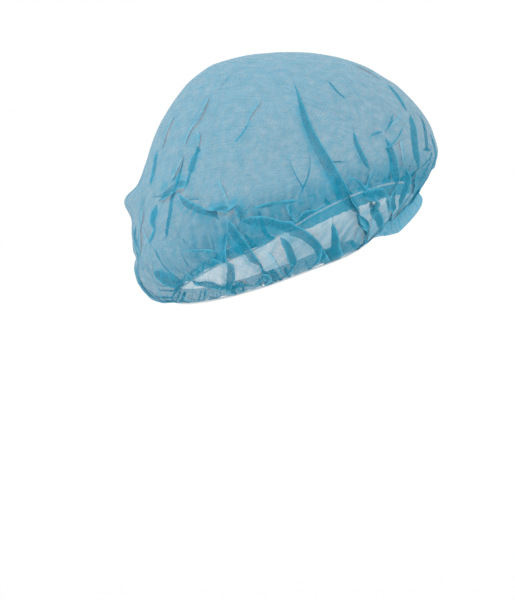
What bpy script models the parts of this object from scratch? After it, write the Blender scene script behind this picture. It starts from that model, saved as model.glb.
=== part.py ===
"""Disposable bouffant cap: a puffed bag of pale blue nonwoven cloth drawn in by a thin white elastic.

The cap keeps the form it has when worn. The forehead faces -Y, the wearer's right is -X and the crown is +Z.
The origin is the centre of the head opening, inside the elastic loop. All sizes are in metres.
"""
import math
from bisect import bisect_right

import bmesh
import bpy
from mathutils import Vector

# Reach of the bag from the middle of the opening, at its fullest
BAG_FRONT = 0.113
BAG_BACK = 0.131
BAG_SIDE = 0.101
CROWN_HEIGHT = 0.1535
CROWN_LEAN = 0.013

# Height of the fullest line, which is high over the forehead and low at the nape
FULL_HEIGHT_FRONT = 0.084
FULL_HEIGHT_SIDE = 0.040
FULL_HEIGHT_BACK = 0.004

# Neck of the bag, where the elastic draws it in
NECK_REACH_LONG = 0.100
NECK_REACH_SIDE = 0.079
NECK_HEIGHT_FRONT = 0.056
NECK_HEIGHT_SIDE = 0.003
NECK_HEIGHT_BACK = -0.037

# Cloth and elastic
CLOTH_WALL = 0.0012
ELASTIC_RADIUS = 0.001
CLEARANCE = 0.0008

# Edge of the cloth below the neck: it turns within TURN_RUN and then lies straight to its cut edge
EDGE_WIDTH = 0.0135
TURN_RUN = 0.0055
EDGE_ANGLE_FRONT = 282.0
EDGE_ANGLE_BACK = 112.0
EDGE_SWAP_SHARE = 0.41
SWAP_SPAN_SHARE = 0.05

# Gathers, counted round the neck
GATHERS = 22
GATHER_HEIGHT = 0.0028
EDGE_RUFFLE = 0.0022
GATHER_TOP_SHARE = 0.62
GATHER_FULL_SHARE = 0.91
GATHER_END_SHARE = 0.98

# Mesh of the sheet
COLUMNS = 88
BAG_ROWS = 23
EDGE_ROWS = 6
EDGE_SHARE = 0.25
ROW_CROWDING_SHARE = 0.25
COLUMN_CROWDING_ANGLE = 0.30
FULL_SHARE = 0.64
ELASTIC_SIDES = 8
SAMPLE_STEP = 0.0005
NORMAL_STEP_SHARE = 0.01

# One row for each height of the bag above its fullest line: the reach as a share of the fullest
# reach, and the height as a share of the rise from the fullest line to the crown
# station, front reach, front rise, side reach, side rise, back reach, back rise
UPPER_SECTIONS = (
    (0.00, 0.000, 1.000, 0.00, 1.00, 0.000, 1.000),
    (0.10, 0.255, 0.985, 0.26, 0.99, 0.220, 0.985),
    (0.22, 0.530, 0.870, 0.53, 0.93, 0.445, 0.935),
    (0.36, 0.790, 0.580, 0.77, 0.76, 0.650, 0.800),
    (0.50, 0.950, 0.270, 0.93, 0.46, 0.830, 0.590),
    (FULL_SHARE, 1.000, 0.000, 0.99, 0.16, 0.950, 0.290),
)

# The same below it: the reach as a share of the step from the neck out to the fullest line, and
# the height as a share of the drop from the fullest line to the neck
LOWER_SECTIONS = (
    (0.76, 0.950, 0.700, 0.99, 0.88, 1.000, 1.000),
    (0.86, 0.660, 0.380, 0.86, 0.50, 0.860, 0.400),
    (0.94, 0.270, 0.120, 0.47, 0.15, 0.500, 0.050),
    (1.00, 0.000, 0.000, 0.00, 0.00, 0.000, 0.000),
)

# Folds, dents and corners of the bag. Each runs through three places on it: "around" is the share
# of a half turn from the forehead to the nape, positive on the wearer's right, and "down" is the
# share from crown to neck. Half widths and heights are multiples of FOLD_SIZE, and the height is out
# of the bag, or into it when negative.
FOLD_SIZE = 0.010
# around 1, down 1, around 2, down 2, around 3, down 3, half width, height
FOLDS = (
    (0.618, 0.283, 0.575, 0.547, 0.443, 0.907, 0.70, 0.60),
    (0.497, 0.492, 0.485, 0.560, 0.465, 0.638, 0.60, 0.45),
    (0.419, 0.515, 0.395, 0.650, 0.394, 0.812, 0.60, 0.45),
    (0.293, 0.495, 0.324, 0.615, 0.317, 0.815, 0.60, 0.40),
    (0.264, 0.443, 0.356, 0.475, 0.417, 0.510, 0.50, -0.30),
    (0.872, 0.390, 0.869, 0.510, 0.868, 0.625, 0.65, 0.40),
    (0.713, 0.395, 0.742, 0.475, 0.767, 0.545, 0.50, 0.25),
    (0.853, 0.542, 0.904, 0.610, 0.972, 0.675, 0.70, 0.45),
    (0.886, 0.655, 0.733, 0.682, 0.610, 0.777, 0.60, 0.65),
    (0.729, 0.685, 0.647, 0.677, 0.608, 0.677, 0.50, 0.30),
    (0.793, 0.603, 0.760, 0.662, 0.733, 0.685, 0.50, 0.25),
    (0.771, 0.693, 0.715, 0.790, 0.669, 0.940, 0.55, 0.50),
    (0.764, 0.708, 0.751, 0.802, 0.765, 0.950, 0.50, 0.40),
    (0.869, 0.765, 0.811, 0.772, 0.760, 0.785, 0.50, 0.25),
    (0.610, 0.782, 0.580, 0.870, 0.549, 0.963, 0.55, 0.35),
    (0.560, 0.600, 0.640, 0.560, 0.700, 0.600, 1.80, -0.50),
    (0.830, 0.720, 0.800, 0.730, 0.760, 0.740, 1.20, -0.40),
    (-0.960, 0.640, -0.875, 0.655, -0.790, 0.640, 1.60, 1.05),
    (-0.970, 0.790, -0.880, 0.780, -0.800, 0.790, 0.80, -0.45),
    (-0.620, 0.300, -0.560, 0.550, -0.470, 0.880, 0.80, 0.55),
    (-0.400, 0.420, -0.370, 0.600, -0.380, 0.830, 0.70, 0.45),
    (-0.240, 0.460, -0.200, 0.640, -0.220, 0.850, 0.70, 0.40),
    (-0.030, 0.400, 0.000, 0.600, 0.020, 0.860, 0.70, 0.45),
    (0.150, 0.480, 0.140, 0.640, 0.160, 0.860, 0.70, 0.40),
    (-0.760, 0.420, -0.740, 0.600, -0.660, 0.820, 0.80, 0.50),
    (-0.840, 0.690, -0.720, 0.700, -0.580, 0.760, 0.80, 0.55),
    (1.000, 0.460, 1.020, 0.600, 1.060, 0.760, 0.80, 0.45),
    (-0.100, 0.130, -0.450, 0.170, -0.800, 0.210, 0.80, 0.20),
    (0.250, 0.180, 0.420, 0.220, 0.560, 0.260, 0.70, 0.20),
)
FOLD_SAMPLES = 14
FOLD_REACH_SHARE = 2.6

# Colours
CLOTH_COLOUR = (0.30, 0.62, 0.74, 1.0)
ELASTIC_COLOUR = (0.86, 0.89, 0.90, 1.0)
CLOTH_ROUGHNESS = 0.75
ELASTIC_ROUGHNESS = 0.65


def clear_scene():
    """Removes every object of the scene."""
    for obj in list(bpy.data.objects):
        bpy.data.objects.remove(obj, do_unlink=True)


def smooth(value):
    """Eases a share from 0 to 1, flat at both ends."""
    value = min(max(value, 0.0), 1.0)
    return value * value * (3.0 - 2.0 * value)


def section_rows():
    """Turns both section tables into reaches and heights in metres."""
    full = (BAG_FRONT, FULL_HEIGHT_FRONT, BAG_SIDE, FULL_HEIGHT_SIDE, BAG_BACK, FULL_HEIGHT_BACK)
    neck = (NECK_REACH_LONG, NECK_HEIGHT_FRONT, NECK_REACH_SIDE, NECK_HEIGHT_SIDE,
            NECK_REACH_LONG, NECK_HEIGHT_BACK)
    rows = []
    for station, *shares in UPPER_SECTIONS:
        row = [station]
        for k in (0, 2, 4):
            row.append(shares[k] * full[k])
            row.append(full[k + 1] + shares[k + 1] * (CROWN_HEIGHT - full[k + 1]))
        rows.append(row)
    for station, *shares in LOWER_SECTIONS:
        rows.append([station] + [neck[k] + shares[k] * (full[k] - neck[k]) for k in range(6)])
    return rows


def row_slopes(rows):
    """Slope of every column at every row, from its neighbours."""
    last = len(rows) - 1
    slopes = []
    for i in range(len(rows)):
        low = rows[max(i - 1, 0)]
        high = rows[min(i + 1, last)]
        slopes.append([(b - a) / (high[0] - low[0]) for a, b in zip(low, high)])
    return slopes


SECTIONS = section_rows()
SLOPES = row_slopes(SECTIONS)
STATIONS = [row[0] for row in SECTIONS]


def section_at(station):
    """Reach and height at front, side and back, on a smooth curve through the sections."""
    i = min(max(bisect_right(STATIONS, station) - 1, 0), len(STATIONS) - 2)
    step = STATIONS[i + 1] - STATIONS[i]
    u = (station - STATIONS[i]) / step
    start = (1.0 + 2.0 * u) * (1.0 - u) ** 2
    start_slope = u * (1.0 - u) ** 2 * step
    end = u * u * (3.0 - 2.0 * u)
    end_slope = u * u * (u - 1.0) * step
    values = []
    for k in range(1, 7):
        values.append(start * SECTIONS[i][k] + start_slope * SLOPES[i][k]
                      + end * SECTIONS[i + 1][k] + end_slope * SLOPES[i + 1][k])
    return values


def bag_point(angle, station):
    """Place on the smooth bag: angle from the forehead, station from the crown to the neck."""
    front, front_z, side, side_z, back, back_z = section_at(station)
    ahead = math.cos(angle)
    reach = front if ahead > 0.0 else back
    lean = CROWN_LEAN * max(1.0 - station / FULL_SHARE, 0.0) ** 1.5
    height = side_z + 0.5 * (front_z - back_z) * ahead
    height += (0.5 * (front_z + back_z) - side_z) * ahead * ahead
    return Vector((-side * math.sin(angle), lean - reach * ahead, height))


def neck_outward(angle):
    """Level direction square to the neck's oval."""
    return Vector((-NECK_REACH_LONG * math.sin(angle), -NECK_REACH_SIDE * math.cos(angle), 0.0)).normalized()


def edge_bearing(angle, run):
    """Direction in which the edge runs, as an angle from straight outward, at a run below the neck."""
    across = neck_outward(angle)
    arriving = bag_point(angle, 1.0) - bag_point(angle, 1.0 - NORMAL_STEP_SHARE)
    start = math.atan2(arriving.z, arriving.dot(across)) % math.tau
    around = abs((angle / math.pi + 1.0) % 2.0 - 1.0)
    turned_in = smooth(0.5 + (around - EDGE_SWAP_SHARE) / (2.0 * SWAP_SPAN_SHARE))
    end = math.radians(EDGE_ANGLE_FRONT + (EDGE_ANGLE_BACK - EDGE_ANGLE_FRONT) * turned_in)
    return start + (end - start) * smooth(run / TURN_RUN)


def edge_point(angle, run):
    """Place on the edge of the cloth, at a run beyond the neck."""
    across = neck_outward(angle)
    place = bag_point(angle, 1.0)
    steps = max(int(round(run / SAMPLE_STEP)), 1)
    for k in range(steps):
        bearing = edge_bearing(angle, (k + 0.5) * run / steps)
        place = place + across * (math.cos(bearing) * run / steps)
        place.z += math.sin(bearing) * run / steps
    return place


def elastic_point(angle):
    """Centre of the elastic, just outside the middle of the turn of the edge."""
    run = 0.5 * TURN_RUN
    bearing = edge_bearing(angle, run)
    out = neck_outward(angle) * -math.sin(bearing) + Vector((0.0, 0.0, math.cos(bearing)))
    return edge_point(angle, run) + out * (0.5 * CLOTH_WALL + CLEARANCE + ELASTIC_RADIUS)


def column_angle(turn):
    """Crowds the columns on the wearer's right, where the most folds are."""
    return turn + COLUMN_CROWDING_ANGLE * math.cos(turn)


def gather_wave(turn):
    """Uneven waves round the neck, from -1 to 1."""
    wander = 0.8 * math.sin(3.0 * turn) + 0.5 * math.sin(7.0 * turn + 2.0)
    uneven = 0.75 + 0.25 * math.sin(5.0 * turn + 1.0)
    return uneven * math.cos(GATHERS * turn + wander)


def fold_paths():
    """Points along every fold on the smooth bag."""
    paths = []
    for a1, d1, a2, d2, a3, d3, width_share, height_share in FOLDS:
        points = []
        for k in range(FOLD_SAMPLES + 1):
            u = k / FOLD_SAMPLES
            w1, w2, w3 = (1.0 - u) ** 2, 2.0 * u * (1.0 - u), u * u
            bend_around = 2.0 * a2 - 0.5 * (a1 + a3)
            bend_down = 2.0 * d2 - 0.5 * (d1 + d3)
            around = w1 * a1 + w2 * bend_around + w3 * a3
            down = w1 * d1 + w2 * bend_down + w3 * d3
            points.append((bag_point(around * math.pi, down), math.sin(math.pi * u) ** 0.6))
        paths.append((points, width_share * FOLD_SIZE, height_share * FOLD_SIZE))
    return paths


def fold_height(place, paths):
    """How far the folds lift the cloth at one place."""
    total = 0.0
    for points, half_width, height in paths:
        nearest, taper = min(((place - point).length_squared, taper) for point, taper in points)
        spread = nearest / half_width ** 2
        if spread < FOLD_REACH_SHARE ** 2:
            total += height * taper * math.exp(-spread)
    return total


def make_material(name, colour, roughness):
    """One plain material."""
    material = bpy.data.materials.new(name)
    material.use_nodes = True
    shader = material.node_tree.nodes["Principled BSDF"]
    shader.inputs["Base Color"].default_value = colour
    shader.inputs["Roughness"].default_value = roughness
    shader.inputs["Metallic"].default_value = 0.0
    material.diffuse_color = colour
    return material


def add_object(name, data, material):
    """Links one object and gives it its material."""
    obj = bpy.data.objects.new(name, data)
    bpy.context.scene.collection.objects.link(obj)
    data.materials.append(material)
    return obj


def flat_disc():
    """The cloth as it is cut: a disc of rows and columns, one unit out to the neck."""
    bm = bmesh.new()
    row_shares = []
    for k in range(BAG_ROWS + 1):
        u = k / BAG_ROWS
        row_shares.append(u + ROW_CROWDING_SHARE * math.sin(math.pi * u) * u / math.pi)
    row_shares += [1.0 + EDGE_SHARE * k / EDGE_ROWS for k in range(1, EDGE_ROWS + 1)]
    profile = [bm.verts.new((share, 0.0, 0.0)) for share in row_shares]
    edges = [bm.edges.new(pair) for pair in zip(profile, profile[1:])]
    bmesh.ops.spin(bm, geom=profile + edges, axis=(0.0, 0.0, 1.0), cent=(0.0, 0.0, 0.0),
                   angle=math.tau, steps=COLUMNS, use_merge=True)
    bmesh.ops.remove_doubles(bm, verts=bm.verts[:], dist=1e-6)
    return bm


def make_cloth():
    """Draws the disc up into the worn bag, with its folds, gathers and turned edge."""
    bm = flat_disc()
    lift = {}
    paths = fold_paths()
    for vert in bm.verts:
        share = vert.co.to_2d().length
        turn = math.atan2(vert.co.y, vert.co.x)
        angle = column_angle(turn)
        station = min(share, 1.0)
        run = max(share - 1.0, 0.0) * EDGE_WIDTH / EDGE_SHARE
        if run > 0.0:
            vert.co = edge_point(angle, run)
            ruffle = smooth((run - TURN_RUN) / (EDGE_WIDTH - TURN_RUN))
            lift[vert] = EDGE_RUFFLE * ruffle * gather_wave(turn)
        else:
            vert.co = bag_point(angle, station)
            rising = smooth((station - GATHER_TOP_SHARE) / (GATHER_FULL_SHARE - GATHER_TOP_SHARE))
            falling = smooth((GATHER_END_SHARE - station) / (GATHER_END_SHARE - GATHER_FULL_SHARE))
            fading = smooth((1.0 - station) / (1.0 - GATHER_FULL_SHARE))
            lift[vert] = GATHER_HEIGHT * rising * falling * gather_wave(turn)
            lift[vert] += fading * fold_height(vert.co, paths)
    bmesh.ops.recalc_face_normals(bm, faces=bm.faces[:])
    bm.normal_update()
    crown = max(bm.verts, key=lambda vert: vert.co.z)
    if crown.normal.z < 0.0:
        bmesh.ops.reverse_faces(bm, faces=bm.faces[:])
        bm.normal_update()
    moves = {vert: vert.normal * lift[vert] for vert in bm.verts}
    for vert, move in moves.items():
        vert.co += move
    mesh = bpy.data.meshes.new("cap_cloth")
    bm.to_mesh(mesh)
    bm.free()
    mesh.shade_smooth()
    material = make_material("pale_blue_nonwoven", CLOTH_COLOUR, CLOTH_ROUGHNESS)
    obj = add_object("cap_cloth", mesh, material)
    wall = obj.modifiers.new("Wall", "SOLIDIFY")
    wall.thickness = CLOTH_WALL
    wall.offset = 0.0
    return obj


def make_elastic():
    """The elastic: one closed round cord in the turn of the edge."""
    curve = bpy.data.curves.new("elastic_band", "CURVE")
    curve.dimensions = "3D"
    curve.bevel_mode = "ROUND"
    curve.bevel_depth = ELASTIC_RADIUS
    curve.bevel_resolution = ELASTIC_SIDES // 2 - 2
    curve.twist_mode = "Z_UP"
    loop = curve.splines.new("POLY")
    loop.points.add(COLUMNS - 1)
    for k, point in enumerate(loop.points):
        point.co = (*elastic_point(column_angle(math.tau * k / COLUMNS)), 1.0)
    loop.use_cyclic_u = True
    loop.use_smooth = True
    material = make_material("white_elastic", ELASTIC_COLOUR, ELASTIC_ROUGHNESS)
    return add_object("elastic_band", curve, material)


def main():
    """Builds the cap."""
    clear_scene()
    make_cloth()
    make_elastic()


main()
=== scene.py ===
"""Finished look of a disposable bouffant cap: thin blue nonwoven cloth drawn in by a white elastic.

The cap keeps the form it has when worn. The forehead faces -Y, the wearer's right is -X and the crown
is +Z. The origin is the centre of the head opening. Sizes are in metres.
"""

import math

import bmesh
import bpy
import numpy as np
from bpy.props import FloatProperty, IntProperty, PointerProperty, StringProperty
from mathutils import Matrix, Vector


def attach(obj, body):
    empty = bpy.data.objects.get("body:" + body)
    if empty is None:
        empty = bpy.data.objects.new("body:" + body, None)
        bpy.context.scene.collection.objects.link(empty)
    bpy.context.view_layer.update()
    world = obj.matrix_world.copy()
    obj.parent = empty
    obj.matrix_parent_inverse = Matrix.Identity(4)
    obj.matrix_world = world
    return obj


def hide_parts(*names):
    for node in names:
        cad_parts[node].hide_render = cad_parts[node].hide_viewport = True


bl_info = {
    "name": "Bouffant Cap",
    "version": (1, 0, 0),
    "blender": (4, 5, 0),
    "location": "View3D > Sidebar > Cap",
    "description": "Models a worn bouffant cap of nonwoven cloth with its elastic",
    "category": "Add Mesh",
}

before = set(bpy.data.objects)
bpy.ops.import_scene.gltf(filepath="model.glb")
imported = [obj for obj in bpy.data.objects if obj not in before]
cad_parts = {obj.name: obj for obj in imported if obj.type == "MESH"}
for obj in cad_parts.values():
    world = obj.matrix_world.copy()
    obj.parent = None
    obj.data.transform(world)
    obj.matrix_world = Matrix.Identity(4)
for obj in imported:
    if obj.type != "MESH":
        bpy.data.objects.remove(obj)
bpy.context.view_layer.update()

# Units of the tables: widths are in millimetres and ways round the cap in half turns
MILLIMETRE = 0.001
WHOLE_TURN = 2.0

# Forms of the bag above its fullest line: reach as a share of the fullest reach, and height as a
# share of the rise from the fullest line to the crown
# station, front reach, front rise, side reach, side rise, back reach, back rise
FULL_STATION = 0.64
UPPER_SECTIONS = (
    (0.00, 0.000, 1.000, 0.00, 1.00, 0.000, 1.000),
    (0.10, 0.255, 0.978, 0.26, 0.988, 0.220, 0.981),
    (0.22, 0.530, 0.854, 0.53, 0.928, 0.445, 0.930),
    (0.36, 0.790, 0.572, 0.77, 0.76, 0.650, 0.800),
    (0.50, 0.950, 0.270, 0.93, 0.46, 0.830, 0.590),
    (FULL_STATION, 1.000, 0.000, 0.99, 0.16, 0.950, 0.290),
)

# Forms below it: reach as a share of the step from the neck out to the fullest line, and height
# as a share of the drop from the fullest line to the neck
LOWER_SECTIONS = (
    (0.76, 0.850, 0.700, 0.99, 0.88, 1.000, 1.000),
    (0.86, 0.450, 0.380, 0.86, 0.50, 0.840, 0.400),
    (0.94, 0.150, 0.120, 0.47, 0.15, 0.480, 0.050),
    (1.00, 0.000, 0.000, 0.00, 0.00, 0.000, 0.000),
)

# Tucks of the wearer's right, where the cloth laps over itself in three layers. The side says which
# flap lies on top. Each place on the way is given by "around", the share of a half turn from the
# forehead to the nape and positive on the wearer's right, by "down", the share from crown to neck,
# and by the width of the lap in millimetres, before TUCK_SCALE.
# side, then around, down and width at each place
TUCKS = (
    (1, (0.660, 0.190, 1.4), (0.619, 0.400, 3.8), (0.595, 0.495, 5.8), (0.556, 0.598, 8.2),
         (0.530, 0.680, 7.6), (0.502, 0.792, 5.4), (0.465, 0.932, 3.6)),
    (-1, (0.526, 0.665, 2.3), (0.504, 0.755, 3.9), (0.469, 0.893, 3.1), (0.428, 1.000, 2.3)),
    (1, (0.493, 0.480, 0.8), (0.492, 0.532, 2.7), (0.479, 0.583, 3.5), (0.463, 0.635, 2.3)),
    (-1, (0.461, 0.615, 1.5), (0.474, 0.647, 2.3), (0.499, 0.647, 2.3), (0.521, 0.615, 1.2)),
    (1, (0.417, 0.512, 2.7), (0.404, 0.570, 4.6), (0.400, 0.642, 5.4), (0.387, 0.777, 4.6)),
    (-1, (0.415, 0.515, 2.3), (0.389, 0.478, 1.9), (0.350, 0.440, 0.8)),
    (1, (0.411, 0.512, 1.5), (0.378, 0.482, 1.9), (0.321, 0.455, 0.8)),
    (-1, (0.401, 0.693, 3.9), (0.396, 0.818, 4.6), (0.351, 1.000, 2.3)),
    (1, (0.278, 0.443, 1.5), (0.301, 0.497, 3.9), (0.317, 0.578, 4.6), (0.319, 0.723, 3.9)),
    (-1, (0.364, 0.537, 0.8), (0.372, 0.588, 1.9), (0.372, 0.647, 2.3)),
    (1, (0.372, 0.615, 2.3), (0.357, 0.713, 3.9), (0.363, 0.825, 3.9), (0.364, 0.907, 2.3)),
    (-1, (0.310, 0.667, 2.3), (0.326, 0.743, 3.9), (0.310, 0.902, 2.3)),
    (1, (0.328, 0.480, 0.8), (0.385, 0.545, 1.2), (0.436, 0.570, 0.8)),
    (1, (0.468, 0.530, 0.8), (0.440, 0.510, 2.7), (0.408, 0.508, 1.5)),
    (1, (0.501, 0.665, 1.5), (0.467, 0.672, 3.1), (0.437, 0.708, 3.1), (0.411, 0.820, 1.5)),
    (-1, (0.500, 0.720, 2.3), (0.475, 0.718, 6.9), (0.456, 0.765, 6.9), (0.437, 0.865, 4.6)),
    (1, (0.460, 0.728, 4.6), (0.447, 0.830, 5.4), (0.389, 1.000, 3.1)),
    (-1, (0.461, 0.792, 1.5), (0.461, 0.870, 2.7), (0.457, 0.938, 2.3)),
    (1, (0.443, 0.695, 1.5), (0.419, 0.785, 2.7), (0.390, 0.922, 1.5)),
    (1, (0.553, 0.765, 1.5), (0.540, 0.868, 3.9), (0.515, 0.968, 4.6)),
    (-1, (0.501, 0.755, 1.5), (0.490, 0.853, 2.7), (0.486, 0.930, 2.3)),
    (1, (0.737, 0.685, 2.3), (0.713, 0.713, 5.4), (0.663, 0.735, 6.5), (0.615, 0.782, 6.2),
         (0.586, 0.853, 6.2), (0.543, 0.995, 6.2)),
    (-1, (0.769, 0.672, 2.3), (0.742, 0.680, 6.2), (0.719, 0.718, 3.9)),
    (1, (0.899, 0.647, 2.5), (0.865, 0.662, 6.2), (0.828, 0.677, 6.2), (0.794, 0.693, 5.0),
         (0.764, 0.725, 4.0)),
    (-1, (0.815, 0.680, 2.5), (0.779, 0.680, 5.0), (0.737, 0.682, 5.0)),
    (1, (0.775, 0.680, 2.5), (0.751, 0.718, 5.4), (0.722, 0.777, 5.8), (0.703, 0.850, 6.2),
         (0.683, 0.910, 5.8), (0.675, 0.983, 4.4)),
    (-1, (0.696, 0.850, 1.2), (0.689, 0.902, 2.3), (0.687, 0.968, 2.3)),
    (1, (0.733, 0.690, 2.5), (0.683, 0.682, 4.2), (0.646, 0.680, 3.6), (0.601, 0.682, 2.0)),
    (-1, (0.649, 0.677, 1.2), (0.635, 0.715, 1.5), (0.619, 0.755, 1.5)),
    (1, (0.621, 0.755, 3.9), (0.603, 0.728, 4.6), (0.575, 0.718, 0.8)),
    (-1, (0.658, 0.758, 2.3), (0.639, 0.828, 5.4), (0.628, 0.895, 6.2), (0.619, 0.927, 4.6)),
    (1, (0.681, 0.815, 0.8), (0.664, 0.865, 2.3), (0.650, 0.932, 3.1)),
    (1, (0.756, 0.718, 3.0), (0.760, 0.755, 4.6), (0.760, 0.790, 3.2), (0.757, 0.860, 4.2),
         (0.769, 0.953, 4.0)),
    (-1, (0.743, 0.825, 0.8), (0.747, 0.875, 1.5), (0.750, 0.930, 1.5)),
    (1, (0.860, 0.765, 1.5), (0.814, 0.775, 2.4), (0.771, 0.782, 1.8)),
    (1, (0.794, 0.797, 0.8), (0.772, 0.820, 1.4), (0.756, 0.848, 0.8)),
    (1, (0.863, 0.830, 0.8), (0.839, 0.863, 2.3), (0.819, 0.910, 1.5)),
    (-1, (0.857, 0.863, 2.0), (0.815, 0.900, 4.0), (0.779, 0.935, 2.8)),
    (1, (0.756, 0.907, 1.5), (0.736, 0.935, 5.4), (0.717, 0.968, 2.3)),
    (1, (0.864, 0.603, 1.5), (0.892, 0.625, 6.2), (0.922, 0.642, 8.5), (0.960, 0.665, 6.9)),
    (-1, (0.865, 0.580, 1.2), (0.868, 0.613, 1.9), (0.875, 0.647, 0.8)),
    (-1, (0.951, 0.657, 3.6), (0.960, 0.688, 4.4), (0.951, 0.718, 3.0), (0.953, 0.738, 1.2)),
    (1, (-0.967, 0.662, 0.8), (-0.987, 0.718, 2.8), (-0.999, 0.790, 2.4)),
    (1, (-0.993, 0.700, 1.5), (-1.015, 0.723, 2.3), (-1.032, 0.745, 0.8)),
    (-1, (0.943, 0.708, 1.5), (0.954, 0.728, 2.3), (0.972, 0.750, 0.8)),
    (-1, (0.963, 0.812, 2.3), (0.922, 0.855, 7.7), (0.864, 0.880, 6.2)),
    (1, (0.883, 0.375, 1.5), (0.885, 0.453, 3.9), (0.894, 0.503, 1.2)),
    (1, (0.874, 0.487, 1.2), (0.860, 0.525, 3.1), (0.861, 0.562, 2.7)),
    (-1, (0.854, 0.527, 1.5), (0.861, 0.562, 3.9), (0.868, 0.613, 3.9)),
    (1, (0.886, 0.475, 0.8), (0.899, 0.510, 1.9), (0.897, 0.547, 0.8)),
    (1, (0.896, 0.550, 0.8), (0.903, 0.585, 3.1), (0.918, 0.623, 3.9)),
    (1, (0.713, 0.395, 0.8), (0.737, 0.443, 1.5), (0.760, 0.490, 0.8)),
    (-1, (0.737, 0.455, 0.8), (0.751, 0.497, 1.5), (0.772, 0.537, 1.5)),
    (1, (0.792, 0.605, 0.8), (0.775, 0.635, 1.5), (0.754, 0.670, 1.5)),
    (1, (0.285, 0.330, 0.7), (0.290, 0.393, 1.6), (0.297, 0.463, 1.2)),
    (-1, (0.332, 0.228, 1.0), (0.304, 0.273, 1.8), (0.297, 0.328, 0.8)),
    (1, (0.994, 0.440, 0.8), (0.996, 0.500, 2.4), (0.987, 0.555, 2.0)),
    (-1, (-0.989, 0.537, 1.6), (-0.996, 0.590, 2.8), (-1.004, 0.635, 1.4)),
)

# Pushed-out corners and pushed-in hollows of the bag, on the same kind of path
# around 1, down 1, around 2, down 2, around 3, down 3, half width, height
SWELLS = (
    (-0.960, 0.655, -0.875, 0.668, -0.790, 0.655, 0.0105, 0.0100),
    (-0.970, 0.800, -0.880, 0.790, -0.800, 0.800, 0.0080, -0.0045),
    (0.560, 0.600, 0.640, 0.560, 0.700, 0.600, 0.0220, -0.0035),
    (0.830, 0.720, 0.800, 0.730, 0.760, 0.740, 0.0120, -0.0030),
)

# Tucks of the rest of the bag, set at random: how many, the least and greatest "down" of their start,
# the same of their drop, their sweep around, and their widths in millimetres at start, middle and end
# number, start low, start high, drop low, drop high, sweep, width 1, width 2, width 3
LOOSE_TUCKS = (
    (8, 0.38, 0.62, 0.26, 0.40, 0.05, 0.6, 2.2, 2.8),
    (6, 0.58, 0.80, 0.10, 0.20, 0.08, 0.6, 1.4, 0.8),
    (4, 0.66, 0.76, 0.00, 0.06, 0.14, 0.8, 2.2, 1.4),
    (2, 0.14, 0.40, 0.08, 0.20, 0.04, 0.5, 1.2, 0.6),
)
# Ranges of a tuck's place in its share of the way round, of its bend, of its slip down and of its size
LOOSE_PLACE = (0.1, 0.9)
LOOSE_BEND = 0.25
LOOSE_SLIP = (-0.01, 0.02)
LOOSE_SCALE = (0.5, 1.3)
# On the wearer's right the tucks of the table stand alone
TABLE_FROM = 0.24
TABLE_TO = 1.03
# Seed of everything that is drawn at random
SEED = 12

# Gathers at the elastic: reach upwards as a share of the way to the crown, widths of their laps in
# millimetres, how unevenly they stand and lean, and how the lap widens towards the elastic
GATHER_REACH = (0.05, 0.24)
GATHER_REACH_POWER = 1.8
GATHER_WIDTH = (2.4, 5.8)
GATHER_UNEVEN = 0.35
GATHER_LEAN = 0.02
GATHER_OPENING = (0.3, 0.8, 1.0)
# They are smaller on the wearer's right, and smaller again towards the nape
CALM_GATHERS = 0.5
CALM_FROM = 0.0
NAPE_CALMER = 0.5

# Fine pleats at the elastic: the range of how many go round, how many waves are laid over each
# other, how far they reach up and beyond the neck, and how high they stand
FINE_PLEATS = (70, 170)
FINE_WAVES = 7
FINE_REACH = 0.36
FINE_BEYOND = 0.25
FINE_HEIGHT = 0.0006

# How bunched the web is: at the neck, how much less at the nape, and how that swings with the pleats
NECK_BUNCH = 1.15
NAPE_LOOSER = 1.00
NECK_BUNCH_SWING = 0.30
# Beyond the neck: where that starts, how much less at the cut and where the edge is turned in
EDGE_BUNCH_FROM = 0.97
CUT_LIGHTER = 0.22
TURNED_BUNCH = 0.30
# The edge on the forehead is a little denser and has painted light on it, lighter although the band
# faces down into shade, and its tucks run out by a share within a share of the cloth
FRILL_DENSE_AND_PAINTED_LIGHT = 0.80
FRILL_SMOOTH = 0.92
FRILL_SMOOTH_WITHIN = 0.035

# Papery ridges: how many, and the ranges of their half length, half width, slope and place
RIDGES = 320
RIDGE_LENGTH = (0.008, 0.030)
RIDGE_WIDTH = (0.004, 0.013)
RIDGE_SLOPE = (0.04, 0.16)
RIDGE_AREA = (0.02, 0.95)
RIDGE_DEPTH = 0.03
# The cloth is tauter over the crown, and taut at the neck
CROWN_LOOSE = 0.35
LOOSE_FROM = 0.45
LOOSE_WITHIN = 0.25
TAUT_WITHIN = 0.08

# A fold's way: its samples, how near the crown it may start, and how near the neck it counts as
# reaching it. A fold that reaches the neck runs on over the edge
PATH_SAMPLES = 48
PATH_TOP = 0.03
NECK_REACH = 0.93
EDGE_OVERRUN = 1.5

# A tuck slides the cloth across its way. Its slide fades over a spread, which comes from the width of
# the lap, and past a pull of LAP_START spreads the cloth laps over itself. TUCK_LIMIT is its reach in
# spreads, and END_FADE the share of its way in which it starts and ends
TUCK_SCALE = 1.12
TUCK_LIMIT = 3.3
LEAST_SPREAD = 0.0026
BAND_TO_SPREAD = 1.31
LAP_START = 0.607
LAP_SCALE = 1.516
LAP_POWER = 0.773
END_FADE = 0.25
# Where a tuck turns back on itself, in spreads from its middle, for each share of pull to spread
TURN_PLACES = np.linspace(0.0, 0.95, 96)
TURN_RATIOS = 1.0 / ((1.0 - TURN_PLACES ** 2) * np.exp(0.5 * (1.0 - TURN_PLACES ** 2)))
# How far the flap lifts, at least and as a share of its width, and how much of that the neck allows
FLAP_RISE = 0.0008
FLAP_RISE_SHARE = 0.11
NECK_HOLD = 0.15
NECK_HOLD_WITHIN = 0.07

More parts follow.
